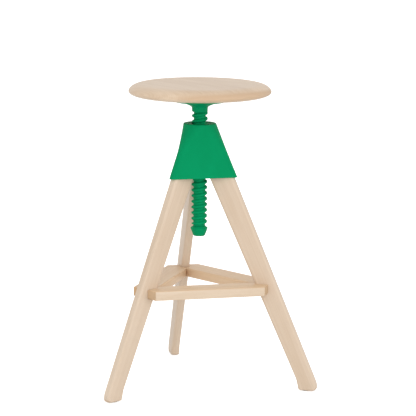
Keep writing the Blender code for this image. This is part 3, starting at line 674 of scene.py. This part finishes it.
def make_hub():
    height = HUB_TOP - HUB_BOTTOM
    count = 34
    edge, sole = HUB_TOP_EDGE, HUB_SOLE_EDGE
    rings = [hub_ring(HUB_BOTTOM + sole - sole * math.cos(math.radians(a)),
                      sole - sole * math.sin(math.radians(a))) for a in (0, 30, 60)]
    rings += [hub_ring(HUB_BOTTOM + sole + (height - sole - edge) * k / count)
              for k in range(count + 1)]
    rings += [hub_ring(HUB_TOP - edge + edge * math.sin(math.radians(a)),
                       edge - edge * math.cos(math.radians(a))) for a in (22, 45, 67, 90)]
    hub = skin(bmesh.new(), rings)
    levels = [HUB_TOP - height * share for share in
              (1.1, 1.0, 0.9, 0.8, 0.7, 0.6, 0.55, 0.5, 0.45, 0.4, 0.35, 0.3, 0.25, 0.2, 0.15, 0.09)]
    hollow = skin(bmesh.new(), [hub_ring(z, HUB_WALL) for z in levels])
    sleeve = lathe([(0, HUB_BOTTOM - CUT_FAR), (HUB_TUBE_RADIUS, HUB_BOTTOM - CUT_FAR),
                    (HUB_TUBE_RADIUS, HUB_TOP), (0, HUB_TOP)])
    hollow = combined(hollow, sleeve)
    half = LEG_HALF + OPEN_GAP + SOCKET_WALL
    for azimuth in LEGS.values():
        slab = box((0.0, -half, HUB_BOTTOM - CUT_FAR), (HUB_CORNER_REACH + CUT_FAR, half, HUB_TOP))
        hollow = combined(hollow, turned_to(slab, azimuth))
    hub = combined(hub, hollow)
    for azimuth in LEGS.values():
        hub = combined(hub, turned_to(leg_body(OPEN_GAP), azimuth))
        for i in (1, 2):
            place = middle(f"leg_screw_back_{i}")
            shank, length = WOOD_SCREW["shank"] + GAP, 0.012
            hole = lathe([(0, 0), (shank, 0), (shank, length), (0, length)], HOLE_SIDES)
            hole = laid(hole, (place.y, LEG_HALF - CUT_PAST, place.z), (0, 1, 0))
            hub = combined(hub, turned_to(hole, azimuth))
    bore, collar = NUT_RADIUS + GAP, NUT_COLLAR_RADIUS + GAP
    hub = combined(hub, lathe([(0, HUB_BOTTOM - CUT_CLEAR), (bore, HUB_BOTTOM - CUT_CLEAR),
                               (bore, NUT_COLLAR_BOTTOM - GAP), (collar, NUT_COLLAR_BOTTOM - GAP),
                               (collar, HUB_TOP - MOUTH_DEPTH),
                               (collar + MOUTH_CHAMFER, HUB_TOP + MOUTH_RISE),
                               (collar + MOUTH_CHAMFER, HUB_TOP + CUT_CLEAR),
                               (0, HUB_TOP + CUT_CLEAR)]))
    for azimuth in KEY_AZIMUTHS:
        slot = box((0.015, -KEY_HALF_WIDTH - GAP, HUB_BOTTOM - CUT_CLEAR),
                   (KEY_REACH + GAP, KEY_HALF_WIDTH + GAP, NUT_COLLAR_BOTTOM))
        hub = combined(hub, turned_to(slot, azimuth))
    add_piece("look_hub", hub, "frame", GREEN)


# ---- legs ---------------------------------------------------------------------------------------
def leg_outer(z):
    """Distance of the leg's outer edge from the axis, down to the rounded toe."""
    level = max(z, TOE_BEND_TOP)
    straight = LEG_OUTER_AT_HUB + LEG_OUTER_SPLAY * (HUB_BOTTOM - level)
    drop = TOE_BEND_TOP - max(min(z, TOE_BEND_TOP), TOE_HEIGHT)
    bent = straight + LEG_OUTER_SPLAY * (drop - drop ** 2 / (2 * (TOE_BEND_TOP - TOE_HEIGHT)))
    radius = TOE_HEIGHT - LEG_FOOT
    below = min(max(0.0, TOE_HEIGHT - z), radius)
    return bent - radius + math.sqrt(radius ** 2 - below ** 2)


def leg_inner(z):
    """Distance of the leg's inner edge from the axis, down to the swollen heel."""
    straight = LEG_INNER_AT_HUB + LEG_INNER_SPLAY * (HUB_BOTTOM - z)
    return straight - HEEL_SWELL * max(0.0, 1.0 - z / HEEL_TOP) ** HEEL_POWER


def rounded_section(inner, outer, half, radius, z, steps=6):
    """A rectangle with rounded corners, going once round."""
    centers = ((outer - radius, half - radius, 0), (inner + radius, half - radius, 90),
               (inner + radius, radius - half, 180), (outer - radius, radius - half, 270))
    return [Vector((x, y, 0)) + polar(radius, math.radians(start + 90 * k / steps), z)
            for x, y, start in centers for k in range(steps + 1)]


def leg_body(grow=0.0):
    """The leg from foot to tenon; grown, it is the cutter for its socket."""
    half, radius = LEG_HALF + grow, LEG_EDGE_RADIUS - 2 * grow
    sections = []
    if grow:
        sections.append((SOCKET_BOTTOM, leg_inner(SOCKET_BOTTOM) - grow,
                         leg_outer(SOCKET_BOTTOM) + grow, half))
    else:
        for a in (0, 22, 45, 67):
            z = LEG_FOOT + SOLE_EDGE * (1 - math.cos(math.radians(a)))
            inset = SOLE_EDGE * (1 - math.sin(math.radians(a)))
            sections.append((z, leg_inner(z) + inset, leg_outer(z) - inset * SOLE_OUTER_SHARE,
                             half - inset))
        straight = [LEG_STRAIGHT_FROM + (LEG_SHOULDER - LEG_STRAIGHT_FROM) * k / 16
                    for k in range(1, 16)]
        sections += [(z, leg_inner(z), leg_outer(z), half) for z in (*FOOT_LEVELS, *straight)]
    shoulder = LEG_SHOULDER + grow
    sections.append((shoulder, leg_inner(shoulder) - grow, leg_outer(shoulder) + grow, half))
    for z in (LEG_SHOULDER + GAP, LEG_TOP):
        sections.append((z + grow, LEG_TENON_INNER - grow, leg_outer(z) + grow, half))
    return skin(bmesh.new(), [rounded_section(inner, outer, width, min(radius, width - 0.001), z)
                              for z, inner, outer, width in sections])


def bored(bm, radius, start, end, place, direction):
    """The solid with a round hole, from start to end along a direction from a place."""
    hole = lathe([(0, start), (radius, start), (radius, end), (0, end)], HOLE_SIDES)
    return combined(bm, laid(hole, place, direction))


def make_legs():
    lean = math.atan((LEG_OUTER_SPLAY + LEG_INNER_SPLAY) / 2)
    dowels = [middle(f"dowel_back_{i}") for i in (1, 2)]
    screws = [middle(f"leg_screw_back_{i}") for i in (1, 2)]
    for number, (name, azimuth) in enumerate(LEGS.items()):
        leg = leg_body()
        for place in dowels:
            leg = bored(leg, DOWEL_RADIUS + GAP, -DOWEL_BORE_REACH, DOWEL_BORE_REACH,
                        (place.y, 0, place.z), (0, 1, 0))
        for place in screws:
            leg = bored(leg, WOOD_SCREW["shank"] + GAP, 0.0, LEG_HALF + 0.0055,
                        (place.y, LEG_HALF + 0.001, place.z), (0, -1, 0))
        disc, stem = GLIDE_RADIUS + GAP, GLIDE_STEM_RADIUS + GAP
        recess = lathe([(0, -0.001), (disc, -0.001), (disc, GLIDE_RECESS), (stem, GLIDE_RECESS),
                        (stem, GLIDE_TOP + GAP), (0, GLIDE_TOP + GAP)], 48)
        leg = combined(leg, laid(recess, (GLIDE_REACH, 0, 0), (0, 0, 1)))
        # each leg is cut from another place in the tree
        grain = Matrix.Translation((0.173 * number + 0.04, 0.291 * number, 0.777 * number))
        grain = grain @ Matrix.Rotation(lean, 4, "Y")
        add_piece(f"look_leg_{name}", leg, "frame", LEG_BEECH, azimuth=azimuth, grain=grain)
        for i, place in enumerate(dowels):
            dowel = laid(fluted_dowel(), (place.y, 0, place.z), (0, 1, 0))
            add_piece(f"look_dowel_{name}_{i + 1}", dowel, "frame", DOWEL_BEECH,
                      azimuth=azimuth)
        glide = rounded([(0, 0, 0), (GLIDE_RADIUS, 0, 0.0012), (GLIDE_RADIUS, GLIDE_DISC, 0.0004),
                         (GLIDE_STEM_RADIUS, GLIDE_DISC, 0.0005),
                         (GLIDE_STEM_RADIUS, GLIDE_TOP, 0.0006), (0, GLIDE_TOP, 0)], 5)
        glide = laid(lathe(glide, 48), (GLIDE_REACH, 0, 0), (0, 0, 1))
        add_piece(f"look_glide_{name}", glide, "frame", GREY, azimuth=azimuth)


def fluted_dowel(flutes=14, end_share=0.72, flute_share=0.93):
    """A beech dowel with chamfered ends and glue flutes along it."""
    half = DOWEL_HALF_LENGTH
    rings = []
    for z, share in ((-half, end_share), (DOWEL_CHAMFER - half, 1.0),
                     (half - DOWEL_CHAMFER, 1.0), (half, end_share)):
        rings.append([polar(DOWEL_RADIUS * share * (flute_share if k % 4 == 0 else 1.0),
                            2 * math.pi * k / (4 * flutes), z) for k in range(4 * flutes)])
    return skin(bmesh.new(), rings)


# ---- footrest -----------------------------------------------------------------------------------
def mirrored(point):
    """A point in the starting leg's directions, mirrored to the leg 120 degrees further on."""
    x, y = point
    c, s = math.cos(math.radians(120)), math.sin(math.radians(120))
    return (c * x + s * y, s * x - c * y)


def at_mitre(edge):
    """Whether an edge lies in a plane where two rails meet in front of a leg."""
    across = [(vert.co.y, mirrored(vert.co.xy)[1]) for vert in edge.verts]
    return any(max(abs(y) for y in pair) < GAP for pair in zip(*across))


def leg_notch():
    """The room a leg takes on its way through the footrest."""
    return skin(bmesh.new(), [rounded_section(leg_inner(z) - GAP, leg_outer(z) + GAP, LEG_HALF + GAP,
                                              LEG_EDGE_RADIUS + GAP, z)
                              for z in (RAIL_BOTTOM - CUT_CLEAR, RAIL_TOP + CUT_CLEAR)])


def shade_on_flat_faces(normal):
    """Painted shade on a board's upper and lower faces: 1 there, 0 on its upright ones."""
    return min(1.0, max(0.0, (abs(normal.z) - 0.3) / 0.5))


# painted shade on every face of a board
def shade_on_every_face(normal):
    return 1.0


def make_rails():
    c, s = math.cos(math.radians(60)), math.sin(math.radians(60))
    mitre = GAP / 2
    half_plan = (((RAIL_INNER - mitre * s) / c, mitre), (RAIL_FACET, mitre),
                 (RAIL_FACET, (RAIL_OUTER - RAIL_FACET * c) / s))
    plan = list(half_plan) + [mirrored(p) for p in reversed(half_plan)]
    for number, (name, azimuth) in enumerate(RAILS.items()):
        bm = skin(bmesh.new(), [[Vector((x, y, z)) for x, y in plan] for z in (RAIL_BOTTOM, RAIL_TOP)])
        bmesh.ops.recalc_face_normals(bm, faces=bm.faces)
        edges = [edge for edge in bm.edges if not at_mitre(edge)]
        bmesh.ops.bevel(bm, geom=edges, offset=RAIL_EDGE, segments=4, profile=0.5, affect="EDGES")
        for turn in (0, 120):
            bm = combined(bm, turned_to(leg_notch(), turn))
        for place in (middle("dowel_back_1"), middle("dowel_back_2")):
            start = (place.y, 0.0)
            for x, y, across in ((*start, (0, 1)), (*mirrored(start), mirrored((0, 1)))):
                bm = bored(bm, DOWEL_RADIUS + GAP, 0.0, DOWEL_HALF_LENGTH + GAP, (x, y, place.z),
                           (*across, 0))
        grain = Matrix.Rotation(math.radians(90), 4, "X") @ about_axis(-60.0)
        grain = Matrix.Translation((0.31 + 0.217 * number, 0.119 * number, 0.53 * number)) @ grain
        # painted shade: the front rail's upper and lower faces and every face of the side rails take
        # the warm, darker tint
        add_piece(f"look_{name}", bm, "frame", RAIL_BEECH, azimuth=azimuth, grain=grain,
                  painted_shade=shade_on_flat_faces if name == "rail_front" else shade_on_every_face)


# ---- screws -------------------------------------------------------------------------------------
def cross_screw(size, length, pitch=WOOD_PITCH):
    """A pan-headed screw along +Z: the head bears at z = 0 and the threaded shank runs up."""
    head, height, shank = size["head"], size["head_height"], size["shank"]
    dome = rounded([(0, -height, 0), (head * 0.55, -height, height * 0.6),
                    (head, -height * 0.45, height * 0.25), (head, 0, height * 0.08),
                    (shank * 0.8, 0, 0)], 5)
    rings = [circle(r, z, SCREW_SIDES) for r, z in dome]
    turns = int((length - 4 * shank) / pitch)
    for k in range(4 * turns + 1):
        z = SCREW_THREAD_START + pitch * k / 4
        ring = []
        for i in range(SCREW_SIDES):
            share = (k / 4 - i / SCREW_SIDES) % 1.0
            ridge = max(0.0, 1.0 - abs(share - 0.5) * 3.0)
            ring.append(polar(shank * (0.76 + 0.24 * ridge), 2 * math.pi * i / SCREW_SIDES, z))
        rings.append(ring)
    end = SCREW_THREAD_START + pitch * turns
    rings += [circle(shank * 0.6, end + (length - end) * 0.4, SCREW_SIDES),
              circle(0, length, SCREW_SIDES)]
    bm = skin(bmesh.new(), rings)
    arm, width, depth = size["cross"], size["cross"] * 0.26, height * 0.62
    corners = ((-arm, -width), (arm, -width), (arm, width), (-arm, width))
    for angle in (0, 90):
        low = [Vector((x, y, -height - 0.0005)) for x, y in corners]
        high = [Vector((v.x * 0.45, v.y * 0.45, depth - height)) for v in low]
        bm = combined(bm, turned_to(skin(bmesh.new(), [low, high]), angle))
    return bm


def make_screws():
    for i in range(4):
        node = f"seat_screw_{i + 1}"
        place = middle(node)
        low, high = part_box(node)
        head = low[2] + SEAT_SCREW["head_height"]
        screw = laid(cross_screw(SEAT_SCREW, high[2] - head), (place.x, place.y, head), (0, 0, 1))
        add_piece(f"look_{node}", screw, "seat_turn", ZINC)
    low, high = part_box("end_stop_screw")
    head = low[2] + STOP_SCREW["head_height"]
    screw = laid(cross_screw(STOP_SCREW, high[2] - head, MACHINE_PITCH), (0, 0, head), (0, 0, 1))
    add_piece("look_end_stop_screw", screw, "seat_turn", ZINC)
    for name, azimuth in LEGS.items():
        for i in (1, 2):
            low, high = (Vector(corner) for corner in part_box(f"leg_screw_back_{i}"))
            place = (low + high) / 2 - AXIS
            head_face = -low.x - WOOD_SCREW["head_height"]
            length = head_face + high.x
            screw = laid(cross_screw(WOOD_SCREW, length), (place.y, head_face, place.z), (0, -1, 0))
            add_piece(f"look_leg_screw_{name}_{i}", screw, "frame", ZINC, azimuth=azimuth)


# ---- studio -------------------------------------------------------------------------------------
FLOOR_Z = -0.0004           # just under the glides, so the two don't share a plane
FLOOR_RINGS = (0.0, 0.5, 2.0, 8.0, 30.0)
FLOOR_GLOW = 0.62           # seen by the camera only: it takes the paper up to white
ROOM_LEVEL, BACKDROP_LEVEL = 0.86, 1.0

CAMERA_DISTANCE = 4.3224    # from the spindle's axis
CAMERA_HEIGHT = 1.1771
CAMERA_AZIMUTH = -13.361    # round the axis, in degrees like the three below
CAMERA_PITCH = 10.139
CAMERA_YAW = 0.262
CAMERA_ROLL = 0.41
CAMERA_LENS = 168.07        # millimetres, on a sensor 36 mm wide

# size, power in watts and place of each round area light
LIGHTS = {"key": (2.6, 36.0, (-1.3, -3.5, 1.25)),
          "fill": (2.2, 18.0, (2.1, -2.7, 1.3)),
          "rear": (2.4, 21.0, (0.8, 3.2, 1.5))}
LIGHT_TARGET = (0, 0, 0.4)


def make_camera():
    pitch, yaw, roll = (math.radians(a) for a in (CAMERA_PITCH, CAMERA_YAW, CAMERA_ROLL))
    forward = Vector((math.sin(yaw) * math.cos(pitch), math.cos(yaw) * math.cos(pitch),
                      -math.sin(pitch)))
    right = Vector((math.cos(yaw), -math.sin(yaw), 0))
    up = right.cross(forward)
    right, up = (math.cos(roll) * right + math.sin(roll) * up,
                 math.cos(roll) * up - math.sin(roll) * right)
    turn = Matrix((right, up, -forward)).transposed().to_4x4()
    data = bpy.data.cameras.new("camera")
    data.sensor_width = 36.0
    data.lens = CAMERA_LENS
    data.clip_end = 100.0
    camera = bpy.data.objects.new("camera", data)
    place = Matrix.Translation((0, -CAMERA_DISTANCE, CAMERA_HEIGHT))
    camera.matrix_world = Matrix.Translation(AXIS) @ about_axis(CAMERA_AZIMUTH) @ place @ turn
    scene.collection.objects.link(camera)
    scene.camera = camera


def add_light(name, size, energy, place):
    data = bpy.data.lights.new(name, "AREA")
    data.shape = "DISK"
    data.size = size
    data.energy = energy
    light = bpy.data.objects.new(name, data)
    place = Vector(place)
    aim = (place - Vector(LIGHT_TARGET)).to_track_quat("Z", "Y").to_matrix().to_4x4()
    light.matrix_world = Matrix.Translation(place) @ aim
    light.visible_camera = False
    light.visible_glossy = False
    scene.collection.objects.link(light)


def make_studio():
    scene.view_settings.view_transform = "Standard"
    scene.view_settings.look = "None"
    world = bpy.data.worlds.new("white_room")
    scene.world = world
    world.use_nodes = True
    nodes, links = world.node_tree.nodes, world.node_tree.links
    background = nodes["Background"]
    background.inputs["Color"].default_value = (1, 1, 1, 1)
    path = nodes.new("ShaderNodeLightPath")
    level = nodes.new("ShaderNodeMapRange")
    level.inputs["To Min"].default_value = ROOM_LEVEL
    level.inputs["To Max"].default_value = BACKDROP_LEVEL
    links.new(path.outputs["Is Camera Ray"], level.inputs["Value"])
    links.new(level.outputs[0], background.inputs["Strength"])
    floor = skin(bmesh.new(), [circle(r, FLOOR_Z, 64) for r in FLOOR_RINGS], capped=False)
    mesh = bpy.data.meshes.new("floor")
    floor.to_mesh(mesh)
    floor.free()
    shader = Shader("floor_paper", 0.9, Emission_Color=(1, 1, 1, 1))
    place = shader.node("TexCoord", output=3)
    fibre = shader.noise(place, 300.0, detail=2.0)
    shader.color(shader.blend(shader.steps(fibre, 0.3, 0.7),
                              (0.84, 0.84, 0.84, 1), (0.86, 0.86, 0.86, 1)))
    shader.feed(shader.surface.inputs["Emission Strength"],
                shader.math("MULTIPLY", shader.node("LightPath"), FLOOR_GLOW))
    mesh.materials.append(shader.material)
    ground = bpy.data.objects.new("floor", mesh)
    scene.collection.objects.link(ground)
    for name, settings in LIGHTS.items():
        add_light(name, *settings)


make_seat()
make_spindle()
make_end_stop()
make_nut()
make_hub()
make_legs()
make_rails()
make_screws()
make_camera()
make_studio()
